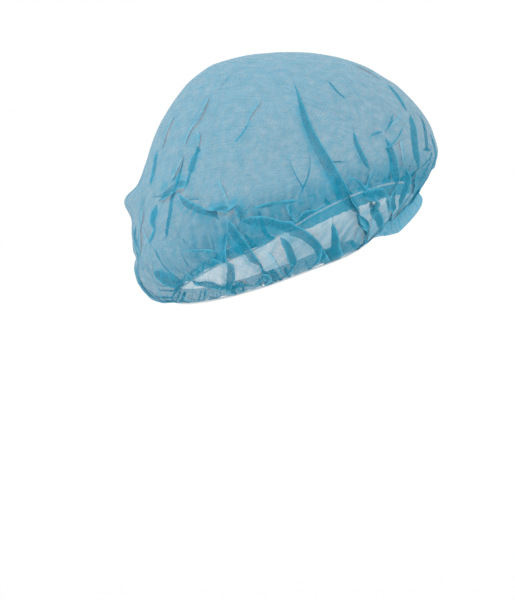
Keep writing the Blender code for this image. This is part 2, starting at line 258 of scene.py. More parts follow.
# What a tuck does to the web: laps that count as wide and as thin, the least it bunches, the soft
# shoulder past the hidden crest, the width of a crease, and how far the hidden crest shows softly
WIDE_BAND = 0.006
THIN_BAND = 0.0045
LEAST_BUNCH = 0.3
SHOULDER = 0.0030
CREASE_WIDTH = 0.0008
HIDDEN_SHARE = 0.20

# How a swell runs out at its ends, how far it reaches in half widths, and how the crown leans
SWELL_POWER = 0.6
SWELL_LIMIT = 3.0
LEAN_POWER = 1.5

# Steps in which the edge is followed and normals are taken
TURN_STEPS = 24
NORMAL_STEP = 0.01

# How far each place moves towards its neighbours, and the angle past which a fold shades as a crease
SOFTENING = 0.5
SHARP_FOLD = 50.0

# Where the neck dips, and the station from which the bag follows it down
SAG_AT = 0.455
SAG_SPAN = 0.10
SAG_FROM = 0.80

# The edge lies on the forehead in front and is turned in at the sides and behind
EDGE_ANGLE_FRONT = 304.0
EDGE_ANGLE_BACK = 112.0
EDGE_SWAP_AT = 0.41
EDGE_SWAP_SPAN = 0.03
# It narrows towards the place where it turns in
EDGE_PINCH = 0.80
EDGE_PINCH_SPAN = 0.09

# Gap between the elastic and the turn where it lies outside, and where it lies under the cloth
ELASTIC_SEAT = 0.0003
ELASTIC_UNDER = 0.0022
# Turns of yarn round the loop. Real ones lie 0.4 mm apart and are drawn coarser so that they show
ELASTIC_TURNS = 400
ELASTIC_STEPS = 3 * ELASTIC_TURNS
ELASTIC_SIDES = 8
YARN_HEIGHT = 0.00010
YARN_CLOUD = 0.012
YARN_GRAIN = 0.0003
YARN_RELIEF = 0.0001
# Share of the yarn's own colour on the back of a turn, the rest being painted shade in the grooves,
# roughness between the turns and on their backs, and how uneven that is
YARN_UNSHADED = 0.8
YARN_ROUGH = (0.75, 0.5)
YARN_UNEVEN = (-0.05, 0.05)

# Crowding of the mesh: columns on the wearer's right, rows towards the neck. The flat disc is one
# unit out to the neck and the edge takes a share more
COLUMN_CROWDING = 0.40
ROW_CROWDING = 0.25
EDGE_SHARE = 0.10
MERGE = 1e-6

# Web of the cloth: denser clouds, fibres and weld points. Real fibres are 0.02 mm thick and the
# welds lie 1.5 mm apart, and both are drawn coarser so that they show
CLOUD_SIZE = 0.007
FIBRE_LENGTH = 0.016
FIBRE_WIDTH = 0.0010
FIBRE_TURNS = (12.0, -38.0, 77.0)
WELD_PITCH = 0.0022
# What each adds to the share of light that the web stops
CLOUD_COVER = 0.08
FIBRE_COVER = (-0.03, 0.09)
WELD_COVER = -0.05
FOLDED_COVER = {"bunched": 0.33, "dense_and_painted_light": 0.15, "hidden": -0.24}
# How far each takes the colour towards the pale one: along a crease this is a painted highlight, and for
# fibres and clouds it is the web's own uneven tone
PAINTED_HIGHLIGHT_SHARE = 0.9
FIBRE_PALER = 0.15
CLOUD_PALER = 0.12
# Its roughness from thin to dense, and the depth of its relief
WEB_ROUGH = (0.5, 0.7)
WEB_RELIEF = 0.0002
# The parts of a noise and of the distance from a weld that are spread over a range
SHARE = (0.0, 1.0)
NOISE = (0.3, 0.7)
FIBRE_RISE = (0.55, 0.75)
WELD_RIM = (0.20, 0.35)

# Stage: the floor lies below what holds the cap up, and is so pale that under these lights it is as
# bright as the room
FLOOR_RADIUS = 12.0
FLOOR_HEIGHT = -0.35
FLOOR_SIDES = 96
FLOOR_HEX = "DADADA"
WORLD_STRENGTH = 1.0
# Width of the camera's sensor in millimetres, and the layers of cloth that are looked through
SENSOR = 36.0
LAYERS_SEEN = 32
# name, azimuth, elevation, width in degrees, strength
SUNS = (
    ("key_light", 190.0, 48.0, 12.0, 1.6),
    ("fill_light", 310.0, 25.0, 40.0, 0.3),
)


def length(name, description, default):
    """A length that a user can set, in metres."""
    return FloatProperty(name=name, description=description, default=default, unit="LENGTH")


class CapShape(bpy.types.PropertyGroup):
    """Sizes of the worn cap."""

    bag_front: length("Bag front", "Reach of the bag over the forehead", 0.113)
    bag_back: length("Bag back", "Reach of the bag behind the head", 0.1285)
    bag_side: length("Bag side", "Reach of the bag to each side", 0.101)
    crown_height: length("Crown height", "Height of the crown over the opening", 0.1535)
    crown_lean: length("Crown lean", "How far back the crown lies", 0.013)
    full_front: length("Fullest at front", "Height of the fullest line in front", 0.084)
    full_side: length("Fullest at side", "Height of the fullest line at the side", 0.040)
    full_back: length("Fullest at back", "Height of the fullest line behind", 0.004)
    neck_long: length("Neck half length", "Half the length of the elastic loop", 0.100)
    neck_side: length("Neck half width", "Half the width of the elastic loop", 0.079)
    neck_front: length("Neck at front", "Height of the neck at the forehead", 0.056)
    neck_level: length("Neck at side", "Height of the neck at the side", 0.003)
    neck_back: length("Neck at back", "Height of the neck at the nape", -0.036)
    ear_sag: length("Sag at the ears", "How far the neck dips at each side", 0.0045)
    edge_width: length("Edge width", "Width of the cloth beyond the neck", 0.0135)
    turn_run: length("Turn", "Stretch of cloth in which the edge turns", 0.0055)
    elastic_radius: length("Elastic radius", "Half the thickness of the elastic", 0.0009)
    cut_width: length("Cut width", "Width of the flat disc of cloth", 0.50)
    gathers: IntProperty(
        name="Gathers", description="How many gathers the elastic makes", default=64, min=8, max=120)
    columns: IntProperty(
        name="Columns", description="Columns of the cloth mesh", default=520, min=40, max=600)
    bag_rows: IntProperty(
        name="Bag rows", description="Rows of the cloth mesh above the neck", default=170, min=20,
        max=220)
    edge_rows: IntProperty(
        name="Edge rows", description="Rows of the cloth mesh below the neck", default=14, min=4, max=20)


class CapFinish(bpy.types.PropertyGroup):
    """Colours and finish of the cap."""

    cloth_hex: StringProperty(
        name="Cloth", description="Colour of the nonwoven where it is thickest", default="0084A2")
    # The pale colour: a painted highlight along sharp creases and on the forehead's edge, and the
    # lighter tone of the web's fibres and clouds
    paler_tone_and_highlight_hex: StringProperty(
        name="Crease", description="Colour of the nonwoven along a sharp crease", default="58B4D0")
    elastic_hex: StringProperty(
        name="Elastic", description="Colour of the elastic's yarn", default="F0F3F4")
    # Painted shade: the darker colour between the turns of the yarn
    groove_shade_hex: StringProperty(
        name="Groove", description="Colour between the turns of the elastic's yarn", default="C4CED4")
    cloth_cover: FloatProperty(
        name="Cover", description="Share of light that one layer of the cloth stops", default=0.54,
        subtype="FACTOR", min=0.0, max=1.0)


class CapStage(bpy.types.PropertyGroup):
    """Where the camera stands and what it takes in."""

    azimuth: FloatProperty(
        name="Azimuth", description="Where the camera stands round the cap", default=math.radians(243),
        subtype="ANGLE")
    elevation: FloatProperty(
        name="Elevation", description="How high the camera looks down", default=math.radians(3),
        subtype="ANGLE")
    distance: length("Distance", "From the camera to the cap", 2.2)
    view_height: length("View height", "Height of what the picture takes in", 0.462)
    aim_right: length("Aim right", "Picture centre to the right of the opening", -0.0277)
    aim_up: length("Aim up", "Picture centre above the opening", -0.0367)


def ease(value):
    """Eases shares from 0 to 1, flat at both ends."""
    value = np.clip(value, 0.0, 1.0)
    return value * value * (3.0 - 2.0 * value)


def unit(vectors):
    """Vectors at length one."""
    return vectors / np.maximum(np.linalg.norm(vectors, axis=-1, keepdims=True), 1e-12)


def from_forehead(angle):
    """Share of a half turn from the forehead, on either side."""
    return np.abs((angle / math.pi + 1.0) % WHOLE_TURN - 1.0)


def section_rows(shape):
    """Both section tables as reaches and heights in metres."""
    full = (shape.bag_front, shape.full_front, shape.bag_side, shape.full_side,
            shape.bag_back, shape.full_back)
    neck = (shape.neck_long, shape.neck_front, shape.neck_side, shape.neck_level,
            shape.neck_long, shape.neck_back)
    rows = []
    for station, *shares in UPPER_SECTIONS:
        row = [station]
        for k in (0, 2, 4):
            row.append(shares[k] * full[k])
            row.append(full[k + 1] + shares[k + 1] * (shape.crown_height - full[k + 1]))
        rows.append(row)
    for station, *shares in LOWER_SECTIONS:
        rows.append([station] + [neck[k] + shares[k] * (full[k] - neck[k]) for k in range(6)])
    return np.array(rows)


def smooth_curve(stations, values, at):
    """Values on a smooth curve through a table's rows."""
    last = len(stations) - 1
    low = np.maximum(np.arange(last + 1) - 1, 0)
    high = np.minimum(np.arange(last + 1) + 1, last)
    slopes = (values[high] - values[low]) / (stations[high] - stations[low])[:, None]
    i = np.clip(np.searchsorted(stations, at, side="right") - 1, 0, last - 1)
    step = stations[i + 1] - stations[i]
    u = (at - stations[i]) / step
    weights = ((1.0 + 2.0 * u) * (1.0 - u) ** 2, u * (1.0 - u) ** 2 * step,
               u * u * (3.0 - 2.0 * u), u * u * (u - 1.0) * step)
    sources = (values[i], slopes[i], values[i + 1], slopes[i + 1])
    return sum(weight[:, None] * source for weight, source in zip(weights, sources))


class Form:
    """The smooth bag and its turned edge, before any fold."""

    def __init__(self, shape):
        self.shape = shape
        self.rows = section_rows(shape)

    def bag(self, angle, station):
        """Places on the bag: angle from the forehead, station from the crown to the neck."""
        angle, station = np.broadcast_arrays(np.atleast_1d(angle), np.atleast_1d(station))
        sections = smooth_curve(self.rows[:, 0], self.rows[:, 1:], station)
        front, front_z, side, side_z, back, back_z = sections.T
        ahead = np.cos(angle)
        reach = np.where(ahead > 0.0, front, back)
        lean = self.shape.crown_lean * np.clip(1.0 - station / FULL_STATION, 0.0, 1.0) ** LEAN_POWER
        height = side_z + 0.5 * (front_z - back_z) * ahead
        height = height + (0.5 * (front_z + back_z) - side_z) * ahead * ahead
        sag = np.exp(-((from_forehead(angle) - SAG_AT) / SAG_SPAN) ** 2)
        sag = sag * ease((station - SAG_FROM) / (1.0 - SAG_FROM))
        height = height - self.shape.ear_sag * sag
        return np.stack([-side * np.sin(angle), lean - reach * ahead, height], axis=1)

    def bag_normal(self, angle, station):
        """Direction straight out of the bag."""
        station = np.clip(station, 2.0 * NORMAL_STEP, 1.0)
        down = self.bag(angle, station) - self.bag(angle, station - NORMAL_STEP)
        round_it = self.bag(angle + NORMAL_STEP, station) - self.bag(angle - NORMAL_STEP, station)
        return unit(np.cross(down, round_it))

    def outward(self, angle):
        """Level direction square to the neck's oval."""
        out = np.stack([-self.shape.neck_long * np.sin(angle), -self.shape.neck_side * np.cos(angle),
                        np.zeros_like(angle)], axis=1)
        return unit(out)

    def turned_in(self, angle):
        """Whether the edge lies on the forehead, 0, or is turned in, 1."""
        return ease(0.5 + (from_forehead(angle) - EDGE_SWAP_AT) / (2.0 * EDGE_SWAP_SPAN))

    def edge_kept(self, angle):
        """Share of its width that the edge keeps."""
        away = np.abs(from_forehead(angle) - EDGE_SWAP_AT)
        return 1.0 - EDGE_PINCH * (1.0 - ease(away / EDGE_PINCH_SPAN))

    def edge_bearing(self, angle, run):
        """Direction of the edge below the neck, as an angle from straight outward."""
        out = self.outward(angle)
        arriving = self.bag(angle, 1.0) - self.bag(angle, 1.0 - NORMAL_STEP)
        start = np.arctan2(arriving[:, 2], (arriving * out).sum(axis=1)) % math.tau
        turned = self.turned_in(angle)
        end = np.radians(EDGE_ANGLE_FRONT + (EDGE_ANGLE_BACK - EDGE_ANGLE_FRONT) * turned)
        return start + (end - start) * ease(run / self.shape.turn_run)

    def edge(self, angle, run):
        """Places on the edge of the cloth and the way out of it there."""
        out = self.outward(angle)
        place = self.bag(angle, 1.0)
        for k in range(TURN_STEPS):
            bearing = self.edge_bearing(angle, (k + 0.5) / TURN_STEPS * run)
            place = place + out * (np.cos(bearing) * run / TURN_STEPS)[:, None]
            place[:, 2] += np.sin(bearing) * run / TURN_STEPS
        bearing = self.edge_bearing(angle, run)
        normal = out * -np.sin(bearing)[:, None]
        normal[:, 2] += np.cos(bearing)
        return place, normal

    def elastic(self, angle):
        """Centre of the elastic: under the cloth on the forehead and outside its turn elsewhere."""
        place, normal = self.edge(angle, np.full_like(angle, 0.5 * self.shape.turn_run))
        outside = self.turned_in(angle)
        away = outside * (self.shape.elastic_radius + ELASTIC_SEAT)
        away = away - (1.0 - outside) * (self.shape.elastic_radius + ELASTIC_UNDER)
        return place + normal * away[:, None]


def new_mesh(name, bm):
    """A mesh from what was modelled in a bmesh."""
    mesh = bpy.data.meshes.new(name)
    bm.to_mesh(mesh)
    bm.free()
    return mesh


def spun_mesh(name, bm, steps):
    """A mesh from a profile that is spun once round the upright axis."""
    bmesh.ops.spin(bm, geom=bm.verts[:] + bm.edges[:], axis=(0.0, 0.0, 1.0), cent=(0.0, 0.0, 0.0),
                   angle=math.tau, steps=steps, use_merge=True)
    bmesh.ops.remove_doubles(bm, verts=bm.verts[:], dist=MERGE)
    bmesh.ops.recalc_face_normals(bm, faces=bm.faces[:])
    return new_mesh(name, bm)


def cut_disc(shape):
    """The cloth as it is cut, a flat disc of rows and columns that is one unit out to the neck."""
    bm = bmesh.new()
    shares = []
    for k in range(shape.bag_rows + 1):
        u = k / shape.bag_rows
        shares.append(u + ROW_CROWDING * math.sin(math.pi * u) * u / math.pi)
    shares += [1.0 + EDGE_SHARE * k / shape.edge_rows for k in range(1, shape.edge_rows + 1)]
    profile = [bm.verts.new((share, 0.0, 0.0)) for share in shares]
    for pair in zip(profile, profile[1:]):
        bm.edges.new(pair)
    return spun_mesh("cap_nonwoven", bm, shape.columns)


class FoldPath:
    """A fold's way over the smooth bag, with its width at every sample."""

    def __init__(self, form, around, down, width):
        knots = np.arange(len(around), dtype=float)
        at = np.linspace(0.0, knots[-1], PATH_SAMPLES)
        table = np.stack([np.array(around) * math.pi, np.array(down), np.array(width)], axis=1)
        angle, station, self.width = smooth_curve(knots, table, at).T
        station = np.clip(station, PATH_TOP, 1.0)
        self.width = np.maximum(self.width, 0.0)
        self.places = form.bag(angle, station)
        self.along = unit(np.gradient(self.places, axis=0))
        self.normals = form.bag_normal(angle, station)
        self.across = unit(np.cross(self.along, self.normals))
        self.length = np.linalg.norm(np.diff(self.places, axis=0), axis=1).sum()
        self.to_neck = max(down) > NECK_REACH

    def beside(self, places, limit, beyond=0.0):
        """Places near the path: which, how far across, share along, and the direction across."""
        low, high = self.places.min(axis=0) - limit, self.places.max(axis=0) + limit
        near = np.nonzero(((places > low) & (places < high)).all(axis=1))[0]
        offset = places[near, None, :] - self.places[None]
        nearest = np.argmin((offset ** 2).sum(axis=2), axis=1)
        ahead = (offset[np.arange(len(near)), nearest] * self.along[nearest]).sum(axis=1)
        share = nearest / (PATH_SAMPLES - 1) + ahead / self.length
        sample = np.clip(share, 0.0, 1.0) * (PATH_SAMPLES - 1)
        first = np.minimum(sample.astype(int), PATH_SAMPLES - 2)
        part = (sample - first)[:, None]
        spot, across, normal = (
            row[first] * (1.0 - part) + row[first + 1] * part
            for row in (self.places, self.across, self.normals))
        offset = places[near] - spot
        across = unit(across)
        distance = (offset * across).sum(axis=1)
        level = np.abs((offset * normal).sum(axis=1))
        kept = (np.abs(distance) < limit) & (share > 0.0) & (level < limit)
        kept &= (share < 1.0 + beyond / self.length)
        return near[kept], distance[kept], share[kept], across[kept]


def lap(u):
    """Slide of the cloth across a tuck, one at one spread from its middle."""
    return u * np.exp(0.5 * (1.0 - u * u))


def tuck(path, side, places, normals, edge_width, lift, give, web):
    """Laps the cloth over itself along one path, and notes what that does to its web."""
    widest = max(path.width.max() / BAND_TO_SPREAD, LEAST_SPREAD)
    beyond = EDGE_OVERRUN * edge_width if path.to_neck else 0.0
    near, distance, share, across = path.beside(places, TUCK_LIMIT * widest, beyond)
    if len(near) == 0:
        return
    fade = ease(share / END_FADE)
    if not path.to_neck:
        fade = fade * ease((1.0 - share) / END_FADE)
    band = np.interp(share, np.linspace(0.0, 1.0, PATH_SAMPLES), path.width) * fade
    spread = np.maximum(band / BAND_TO_SPREAD, LEAST_SPREAD)
    pull = spread * (LAP_START * fade + (band / (LAP_SCALE * spread)) ** LAP_POWER)
    u = distance / spread
    slid = lap(u)
    rise = (FLAP_RISE * fade + FLAP_RISE_SHARE * band) * lift[near]
    places[near] -= across * (pull * slid * give[near])[:, None]
    places[near] -= normals[near] * (side * rise * slid)[:, None]
    note_web(web, near, side, u, spread, pull, band, fade)


def note_web(web, near, side, u, spread, pull, band, fade):
    """Notes where a tuck leaves the web bunched, a little denser along its visible crest with a painted
    highlight there, or hidden so that it shows softly.
    """
    turning = np.interp(pull / spread, TURN_RATIOS, TURN_PLACES)
    crest = spread * turning - pull * lap(turning)
    place = -side * (u * spread - pull * lap(u))
    beyond = place + crest
    outer = side * u < 0.0
    top = outer & (np.abs(u) > turning)
    shoulder = np.where(beyond > 0.0, SHOULDER, CREASE_WIDTH)
    softly = HIDDEN_SHARE * band + CREASE_WIDTH
    bunched = outer * np.exp(-(beyond / shoulder) ** 2)
    # Along the visible crest the web is a little denser and gets a painted highlight
    dense_and_painted_light = outer * (beyond < 0.0) * np.exp(-((place - crest) / CREASE_WIDTH) ** 2)
    hidden = ~top * np.exp(-(beyond / softly) ** 2)
    for name, strength in (("bunched", bunched * np.clip(band / WIDE_BAND, LEAST_BUNCH, 1.0)),
                           ("dense_and_painted_light", dense_and_painted_light),
                           ("hidden", hidden * ease((band - THIN_BAND) / THIN_BAND))):
        web[name][near] = np.maximum(web[name][near], strength * fade)


def table_paths(form):
    """The tucks seen on the wearer's right."""
    for side, *knots in TUCKS:
        around, down, width = zip(*knots)
        yield side, FoldPath(form, around, down, np.array(width) * MILLIMETRE * TUCK_SCALE)


def loose_paths(form, rng):
    """Tucks for the rest of the bag, set at random."""
    first = TABLE_TO - WHOLE_TURN
    for number, low, high, drop_low, drop_high, sweep, *widths in LOOSE_TUCKS:
        for k in range(number):
            start_at = first + (k + rng.uniform(*LOOSE_PLACE)) / number * (TABLE_FROM - first)
            start = rng.uniform(low, high)
            drop = rng.uniform(drop_low, drop_high)
            turn = rng.uniform(-sweep, sweep)
            bend = rng.uniform(-LOOSE_BEND, LOOSE_BEND) * sweep
            scale = rng.uniform(*LOOSE_SCALE) * MILLIMETRE
            around = (start_at, start_at + 0.5 * turn + bend, start_at + turn)
            down = (start, start + 0.5 * drop + rng.uniform(*LOOSE_SLIP), start + drop)
            yield rng.choice((-1.0, 1.0)), FoldPath(form, around, down, np.array(widths) * scale)


def gather_paths(form, number, rng):
    """Short tucks that start at the elastic and die out up the bag."""
    for k in range(number):
        around = (k + rng.uniform(-GATHER_UNEVEN, GATHER_UNEVEN)) * WHOLE_TURN / number
        reach = rng.uniform(0.0, 1.0) ** GATHER_REACH_POWER
        width = rng.uniform(*GATHER_WIDTH) * MILLIMETRE
        if CALM_FROM < (around + 0.5) % WHOLE_TURN - 0.5 < TABLE_TO:
            reach *= CALM_GATHERS
            width *= CALM_GATHERS
        width *= 1.0 - NAPE_CALMER * ease(-math.cos(math.pi * around))
        top = 1.0 - GATHER_REACH[0] - reach * (GATHER_REACH[1] - GATHER_REACH[0])
        drift = rng.uniform(-GATHER_LEAN, GATHER_LEAN)
        yield rng.choice((-1.0, 1.0)), FoldPath(
            form, (around + drift, around + 0.3 * drift, around), (top, 0.5 * (top + 1.0), 1.0),
            [share * width for share in GATHER_OPENING])


def neck_rhythm(angle, rng):
    """Uneven fine pleats round the neck, between -1 and 1."""
    counts = rng.integers(*FINE_PLEATS, size=FINE_WAVES)
    phases = rng.uniform(0.0, math.tau, FINE_WAVES)
    waves = sum(np.cos(n * angle + phase) for n, phase in zip(counts, phases))
    return np.clip(waves / math.sqrt(FINE_WAVES), -1.0, 1.0)


def add_swells(form, places, normals):
    """Pushes the corners out and the hollows in."""
    for a1, d1, a2, d2, a3, d3, half_width, height in SWELLS:
        path = FoldPath(form, (a1, a2, a3), (d1, d2, d3), (half_width,) * 3)
        near, distance, share, _ = path.beside(places, SWELL_LIMIT * half_width)
        bulge = np.sin(math.pi * np.clip(share, 0.0, 1.0)) ** SWELL_POWER
        bulge = bulge * np.exp(-(distance / half_width) ** 2)
        places[near] += normals[near] * (height * bulge)[:, None]


def ridge_heights(form, rest, rng):
    """Papery ridges and valleys with straight crests, laid at random."""
    total = np.zeros(len(rest))
    angles = rng.uniform(-math.pi, math.pi, RIDGES)
    stations = np.sqrt(rng.uniform(*RIDGE_AREA, RIDGES))
    centres = form.bag(angles, stations)
    normals = form.bag_normal(angles, stations)
    headings = unit(np.cross(normals, unit(rng.normal(size=(RIDGES, 3)))))
    for centre, normal, heading in zip(centres, normals, headings):
        half_length = rng.uniform(*RIDGE_LENGTH)
        half_width = rng.uniform(*RIDGE_WIDTH)
        height = half_width * rng.uniform(*RIDGE_SLOPE) * rng.choice((-1.0, 1.0))
        near = np.nonzero((np.abs(rest - centre) < half_length + half_width).all(axis=1))[0]
        offset = rest[near] - centre
        lengthwise = np.abs(offset @ heading) / half_length
        sideways = np.abs(offset @ np.cross(heading, normal)) / half_width
        slope = np.clip(1.0 - sideways, 0.0, 1.0) * ease(2.0 - 2.0 * lengthwise)
        total[near] += height * slope * (np.abs(offset @ normal) < RIDGE_DEPTH)
    return total


def even_edge(web, share, on_forehead):
    """Makes the web even where the edge is gathered, and on the forehead a little denser with painted
    light, lighter although that band faces down into shade.
    """
    on_edge = ease((share - EDGE_BUNCH_FROM) / (1.0 - EDGE_BUNCH_FROM))
    on_frill = on_edge * on_forehead
    frilled = TURNED_BUNCH + (1.0 - TURNED_BUNCH) * on_forehead
    lighter = 1.0 - CUT_LIGHTER * ease((share - 1.0) / EDGE_SHARE)
    web["hidden"] *= 1.0 - on_edge
    web["bunched"] = np.maximum(web["bunched"] * (1.0 - on_edge), on_edge * frilled * lighter)
    # On the forehead's edge: a little denser, with painted light
    web["dense_and_painted_light"] = web["dense_and_painted_light"] * (1.0 - on_frill) + FRILL_DENSE_AND_PAINTED_LIGHT * on_frill


def fold_cloth(form, share, angle, rest, normals):
    """Places of the folded cloth, and its web, from the smooth bag and one fixed seed."""
    rng = np.random.default_rng(SEED)
    edge_width = form.shape.edge_width
    looseness = CROWN_LOOSE + (1.0 - CROWN_LOOSE) * ease((share - LOOSE_FROM) / LOOSE_WITHIN)
    looseness = looseness * ease((1.0 - share) / TAUT_WITHIN)
    hold = NECK_HOLD + (1.0 - NECK_HOLD) * ease(np.abs(share - 1.0) / NECK_HOLD_WITHIN)
    on_forehead = 1.0 - form.turned_in(angle)
    give = 1.0 - FRILL_SMOOTH * on_forehead * ease((share - 1.0) / FRILL_SMOOTH_WITHIN)
    places = rest + normals * (looseness * ridge_heights(form, rest, rng))[:, None]
    rhythm = neck_rhythm(angle, rng)
    by_neck = ease((share - 1.0 + FINE_REACH) / FINE_REACH)
    by_neck = by_neck * ease((1.0 + FINE_BEYOND - share) / FINE_BEYOND)
    places += normals * (FINE_HEIGHT * by_neck * rhythm)[:, None]
    snug = 1.0 - NAPE_LOOSER * ease(-np.cos(angle))
    web = {name: np.zeros(len(rest)) for name in FOLDED_COVER}
    web["bunched"] = by_neck * snug * (NECK_BUNCH + NECK_BUNCH_SWING * rhythm)
    add_swells(form, places, normals)
    paths = [*gather_paths(form, form.shape.gathers, rng), *loose_paths(form, rng), *table_paths(form)]
    for side, path in paths:
        tuck(path, side, places, normals, edge_width, hold * give, give, web)
    even_edge(web, share, on_forehead)
    return places, web


def read_vectors(items, field):
    """One vector of each item of a mesh, as rows."""
    vectors = np.empty(len(items) * 3)
    items.foreach_get(field, vectors)
    return vectors.reshape(-1, 3)


def write_places(mesh, places):
    """Moves a mesh's vertices."""
    mesh.vertices.foreach_set("co", places.astype(np.float32).ravel())
    mesh.update()


def add_attribute(mesh, name, values, kind="FLOAT", field="value"):
    """Gives every vertex a value or a place for the materials to read."""
    attribute = mesh.attributes.new(name, kind, "POINT")
    attribute.data.foreach_set(field, values.astype(np.float32).ravel())


def soften(mesh):
    """Takes the roughness of the rows and columns out of the folds."""
    bm = bmesh.new()
    bm.from_mesh(mesh)
    inner = [vertex for vertex in bm.verts if not vertex.is_boundary]
    bmesh.ops.smooth_vert(bm, verts=inner, factor=SOFTENING, use_axis_x=True, use_axis_y=True,
                          use_axis_z=True)
    bm.to_mesh(mesh)
    bm.free()


def linear(hex_colour):
    """sRGB hex to linear red, green, blue and alpha."""
    channels = [int(hex_colour[k:k + 2], 16) / 255.0 for k in (0, 2, 4)]
    return [c / 12.92 if c <= 0.04045 else ((c + 0.055) / 1.055) ** 2.4 for c in channels] + [1.0]


def add_node(material, kind, settings=(), links=()):
    """Adds one node, sets its values and links sockets into it."""
    tree = material.node_tree
    node = tree.nodes.new(kind)
    for key, value in dict(settings).items():
        if isinstance(key, str) and hasattr(node, key):
            setattr(node, key, value)
        else:
            node.inputs[key].default_value = value
    for key, socket in dict(links).items():
        tree.links.new(socket, node.inputs[key])
    return node


def new_material(name, hex_colour, settings):
    """A material with its Principled shader set to a plain colour and finish."""
    material = bpy.data.materials.new(name)
    material.use_nodes = True
    shader = material.node_tree.nodes["Principled BSDF"]
    shader.inputs["Base Color"].default_value = linear(hex_colour)
    for key, value in settings.items():
        shader.inputs[key].default_value = value
    return material, shader


def attribute_value(material, name, output="Fac"):
    """What the mesh notes under a name."""
    return add_node(material, "ShaderNodeAttribute", {"attribute_name": name}).outputs[output]


def value_range(material, socket, to, within=SHARE):
    """A value taken from one range to another."""
    node = add_node(material, "ShaderNodeMapRange",
                    {"From Min": within[0], "From Max": within[1], "To Min": to[0], "To Max": to[1]},
                    {"Value": socket})
    return node.outputs["Result"]


def noise(material, place, scale, detail, roughness):
    """Cloudy values over places."""
    return add_node(material, "ShaderNodeTexNoise",
                    {"Scale": scale, "Detail": detail, "Roughness": roughness},
                    {"Vector": place}).outputs["Fac"]


def between(material, low_hex, high_hex, share):
    """A colour between two."""
    return add_node(material, "ShaderNodeMix",
                    {"data_type": "RGBA", 6: linear(low_hex), 7: linear(high_hex)},
                    {0: share}).outputs[2]


def relief(material, height, strength, depth):
    """Normals of a surface with a fine relief."""
    return add_node(material, "ShaderNodeBump", {"Strength": strength, "Distance": depth},
                    {"Height": height}).outputs[0]


def added(material, sockets):
    """The sum of several values."""
    total = sockets[0]
    for socket in sockets[1:]:
        total = add_node(material, "ShaderNodeMath", {"operation": "ADD"},
                         {0: total, 1: socket}).outputs[0]
    return total


def nonwoven_material(finish):
    """Spunbond polypropylene: fine endless fibres laid at random and bonded, so it is thin and cloudy.

    The web is uneven, with denser clouds and straight fibres in every direction. It is welded in a
    grid of small points. Where it is bunched it lets less through. Along a crease it is a little denser
    and carries a painted highlight, and the edge on the forehead carries painted light.
    """
    material, shader = new_material("spunbond_polypropylene_nonwoven", finish.cloth_hex, {
        "IOR": 1.49, "Specular IOR Level": 0.15, "Sheen Weight": 0.05})
    links = material.node_tree.links
    place = attribute_value(material, "cloth_place", "Vector")
    folded = {name: attribute_value(material, name) for name in FOLDED_COVER}
    cloud = noise(material, place, 1 / CLOUD_SIZE, 3.0, 0.55)
    streaks = []
    for turn in FIBRE_TURNS:
        turned = add_node(material, "ShaderNodeMapping",
                          {"Rotation": (0.0, 0.0, math.radians(turn)),
                           "Scale": (1 / FIBRE_LENGTH, 1 / FIBRE_WIDTH, 1.0)}, {"Vector": place})
        fibre = noise(material, turned.outputs[0], 1.0, 2.0, 0.6)
        streaks.append(value_range(material, fibre, SHARE, FIBRE_RISE))
    fibres = added(material, streaks)
    welds = add_node(material, "ShaderNodeTexVoronoi", {"Scale": 1 / WELD_PITCH, "Randomness": 0.0},
                     {"Vector": place}).outputs["Distance"]
    weld = value_range(material, welds, (1.0, 0.0), WELD_RIM)
    clouded = (finish.cloth_cover - CLOUD_COVER, finish.cloth_cover + CLOUD_COVER)
    cover = [value_range(material, cloud, clouded, NOISE), value_range(material, fibres, FIBRE_COVER),
             value_range(material, weld, (0.0, WELD_COVER))]
    cover += [value_range(material, folded[name], (0.0, more)) for name, more in FOLDED_COVER.items()]
    links.new(value_range(material, added(material, cover), SHARE), shader.inputs["Alpha"])
    # Lighter colour: a painted highlight along creases and on the forehead's edge, and the web's own
    # uneven tone from fibres and clouds
    paler_tone_and_highlight = added(material, [value_range(material, folded["dense_and_painted_light"], (0.0, PAINTED_HIGHLIGHT_SHARE)),
                             value_range(material, fibres, (0.0, FIBRE_PALER)),
                             value_range(material, cloud, (0.0, CLOUD_PALER), NOISE)])
    colour = between(material, finish.cloth_hex, finish.paler_tone_and_highlight_hex, paler_tone_and_highlight)
    links.new(colour, shader.inputs["Base Color"])
    links.new(value_range(material, cloud, WEB_ROUGH, NOISE), shader.inputs["Roughness"])
    height = added(material, [fibres, value_range(material, weld, (0.0, -1.0))])
    links.new(relief(material, height, 0.35, WEB_RELIEF), shader.inputs["Normal"])
    return material


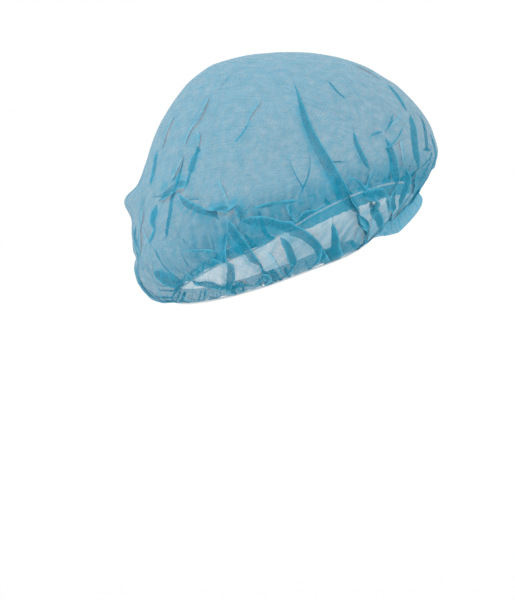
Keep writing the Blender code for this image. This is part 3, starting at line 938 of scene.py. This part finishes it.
def elastic_material(finish):
    """White covered elastic: rubber strands wound with polyester yarn, so it is pale, soft and ribbed.

    The turns of yarn shine a little on their backs and are duller in between, where their darker colour
    is painted shade in the grooves.
    """
    material, shader = new_material("polyester_wound_rubber_elastic", finish.elastic_hex, {
        "IOR": 1.54, "Specular IOR Level": 0.3, "Sheen Weight": 0.2, "Sheen Roughness": 0.5})
    links = material.node_tree.links
    wound = attribute_value(material, "wound")
    place = add_node(material, "ShaderNodeTexCoord").outputs["Object"]
    worn = noise(material, place, 1 / YARN_CLOUD, 2.0, 0.5)
    yarn = noise(material, place, 1 / YARN_GRAIN, 2.0, 0.6)
    # The colour darkens into the grooves between the turns, painted shade, with an uneven tone from the
    # noise
    unshaded_and_uneven = added(material, [value_range(material, wound, (0.0, YARN_UNSHADED)),
                             value_range(material, worn, (0.0, 1.0 - YARN_UNSHADED), NOISE)])
    colour = between(material, finish.groove_shade_hex, finish.elastic_hex, unshaded_and_uneven)
    links.new(colour, shader.inputs["Base Color"])
    dull = added(material, [value_range(material, wound, YARN_ROUGH),
                            value_range(material, yarn, YARN_UNEVEN, NOISE)])
    links.new(dull, shader.inputs["Roughness"])
    links.new(relief(material, yarn, 0.3, YARN_RELIEF), shader.inputs["Normal"])
    return material


def add_object(name, data):
    """Puts one object at the origin of the scene."""
    thing = bpy.data.objects.new(name, data)
    bpy.context.scene.collection.objects.link(thing)
    return thing


def add_piece(name, data, material):
    """Adds one finished piece of the cap."""
    piece = add_object(name, data)
    data.materials.append(material)
    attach(piece, "root")
    return piece


class CAP_OT_cloth(bpy.types.Operator):
    """Models the gathered bag of nonwoven cloth with its tucks and its turned edge"""

    bl_idname = "cap.add_cloth"
    bl_label = "Add cap cloth"

    def execute(self, context):
        shape = context.scene.cap_shape
        form = Form(shape)
        mesh = cut_disc(shape)
        flat = read_vectors(mesh.vertices, "co")
        share = np.hypot(flat[:, 0], flat[:, 1])
        turn = np.arctan2(flat[:, 1], flat[:, 0])
        angle = turn + COLUMN_CROWDING * np.cos(turn)
        run = np.maximum(share - 1.0, 0.0) * shape.edge_width / EDGE_SHARE
        rest = form.bag(angle, np.minimum(share, 1.0))
        edge = run > 0.0
        rest[edge] = form.edge(angle[edge], (run * form.edge_kept(angle))[edge])[0]
        write_places(mesh, rest)
        normals = read_vectors(mesh.vertex_normals, "vector")
        if normals[np.argmax(rest[:, 2]), 2] < 0.0:
            mesh.flip_normals()
            normals = -normals

        places, web = fold_cloth(form, share, angle, rest, normals)
        write_places(mesh, places)
        soften(mesh)

        radius = 0.5 * shape.cut_width
        out_to = np.minimum(share, 1.0) * (radius - shape.edge_width) + run
        laid = np.stack([out_to * np.cos(turn), out_to * np.sin(turn), np.zeros_like(turn)], axis=1)
        add_attribute(mesh, "cloth_place", laid, "FLOAT_VECTOR", "vector")
        for name, values in web.items():
            add_attribute(mesh, name, values)
        mesh.shade_smooth()
        mesh.set_sharp_from_angle(angle=math.radians(SHARP_FOLD))
        piece = add_piece("cap_nonwoven", mesh, nonwoven_material(context.scene.cap_finish))
        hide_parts("cap_cloth")
        return {"FINISHED"}


class CAP_OT_elastic(bpy.types.Operator):
    """Models the thin elastic round the opening"""

    bl_idname = "cap.add_elastic"
    bl_label = "Add elastic"

    def execute(self, context):
        shape = context.scene.cap_shape
        form = Form(shape)
        bm = bmesh.new()
        bmesh.ops.create_circle(bm, cap_ends=False, radius=shape.elastic_radius, segments=ELASTIC_SIDES)
        bmesh.ops.rotate(bm, verts=bm.verts[:], cent=(0.0, 0.0, 0.0),
                         matrix=Matrix.Rotation(math.radians(90.0), 3, "X"))
        bmesh.ops.translate(bm, verts=bm.verts[:], vec=(1.0, 0.0, 0.0))
        mesh = spun_mesh("cap_elastic", bm, ELASTIC_STEPS)
        ring = read_vectors(mesh.vertices, "co")
        angle = np.arctan2(ring[:, 1], ring[:, 0])
        away = np.hypot(ring[:, 0], ring[:, 1]) - 1.0
        wound = 0.5 + 0.5 * np.cos(ELASTIC_TURNS * angle + np.arctan2(ring[:, 2], away))
        swell = 1.0 + YARN_HEIGHT / shape.elastic_radius * (wound - 1.0)
        places = form.elastic(angle) + form.outward(angle) * (swell * away)[:, None]
        places[:, 2] += swell * ring[:, 2]
        write_places(mesh, places)
        add_attribute(mesh, "wound", wound)
        mesh.shade_smooth()
        piece = add_piece("cap_elastic", mesh, elastic_material(context.scene.cap_finish))
        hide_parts("elastic_band")
        return {"FINISHED"}


class CAP_OT_stage(bpy.types.Operator):
    """Sets the pale floor, the soft light and the camera"""

    bl_idname = "cap.set_stage"
    bl_label = "Set stage"

    def execute(self, context):
        stage = context.scene.cap_stage
        bm = bmesh.new()
        bmesh.ops.create_circle(bm, cap_ends=True, radius=FLOOR_RADIUS, segments=FLOOR_SIDES)
        bmesh.ops.translate(bm, verts=bm.verts[:], vec=(0.0, 0.0, FLOOR_HEIGHT))
        floor = add_object("pale_floor", new_mesh("pale_floor", bm))
        floor.data.materials.append(new_material("matt_pale_floor", FLOOR_HEX, {"Roughness": 0.9})[0])

        world = bpy.data.worlds.new("soft_white_room")
        world.use_nodes = True
        room = world.node_tree.nodes["Background"].inputs
        room["Color"].default_value = (1.0, 1.0, 1.0, 1.0)
        room["Strength"].default_value = WORLD_STRENGTH
        context.scene.world = world
        context.scene.view_settings.view_transform = "Standard"
        context.scene.cycles.transparent_max_bounces = LAYERS_SEEN
        for name, azimuth, elevation, width, strength in SUNS:
            light = bpy.data.lights.new(name, "SUN")
            light.angle = math.radians(width)
            light.energy = strength
            lamp = add_object(name, light)
            lamp.location = toward(math.radians(azimuth), math.radians(elevation))
            lamp.rotation_euler = lamp.location.to_track_quat("Z", "Y").to_euler()

        back = toward(stage.azimuth, stage.elevation)
        right = Vector((0.0, 0.0, 1.0)).cross(back).normalized()
        up = back.cross(right)
        aim = right * stage.aim_right + up * stage.aim_up
        lens = bpy.data.cameras.new("camera")
        lens.sensor_width = SENSOR
        lens.lens = SENSOR * stage.distance / stage.view_height
        camera = add_object("camera", lens)
        camera.location = aim + back * stage.distance
        camera.rotation_euler = back.to_track_quat("Z", "Y").to_euler()
        context.scene.camera = camera
        return {"FINISHED"}


def toward(azimuth, elevation):
    """Direction from the cap, azimuth 0 at -Y and turning towards +X."""
    return Vector((math.sin(azimuth) * math.cos(elevation), -math.cos(azimuth) * math.cos(elevation),
                   math.sin(elevation)))


class CAP_PT_panel(bpy.types.Panel):
    """Lists the cap's pieces in the sidebar"""

    bl_label = "Bouffant cap"
    bl_idname = "CAP_PT_panel"
    bl_space_type = "VIEW_3D"
    bl_region_type = "UI"
    bl_category = "Cap"

    def draw(self, context):
        layout = self.layout
        for operator in PIECES:
            layout.operator(operator.bl_idname)
        layout.prop(context.scene.cap_shape, "gathers")
        layout.prop(context.scene.cap_finish, "cloth_cover")


PIECES = (CAP_OT_cloth, CAP_OT_elastic, CAP_OT_stage)
CLASSES = (CapShape, CapFinish, CapStage, *PIECES, CAP_PT_panel)


def register():
    """Makes the settings, operators and panel known to Blender."""
    for cls in CLASSES:
        bpy.utils.register_class(cls)
    bpy.types.Scene.cap_shape = PointerProperty(type=CapShape)
    bpy.types.Scene.cap_finish = PointerProperty(type=CapFinish)
    bpy.types.Scene.cap_stage = PointerProperty(type=CapStage)


def unregister():
    """Takes them away again."""
    del bpy.types.Scene.cap_stage
    del bpy.types.Scene.cap_finish
    del bpy.types.Scene.cap_shape
    for cls in reversed(CLASSES):
        bpy.utils.unregister_class(cls)


def main():
    """Builds the whole look."""
    register()
    bpy.ops.cap.add_cloth()
    bpy.ops.cap.add_elastic()
    bpy.ops.cap.set_stage()


if __name__ == "__main__":
    main()
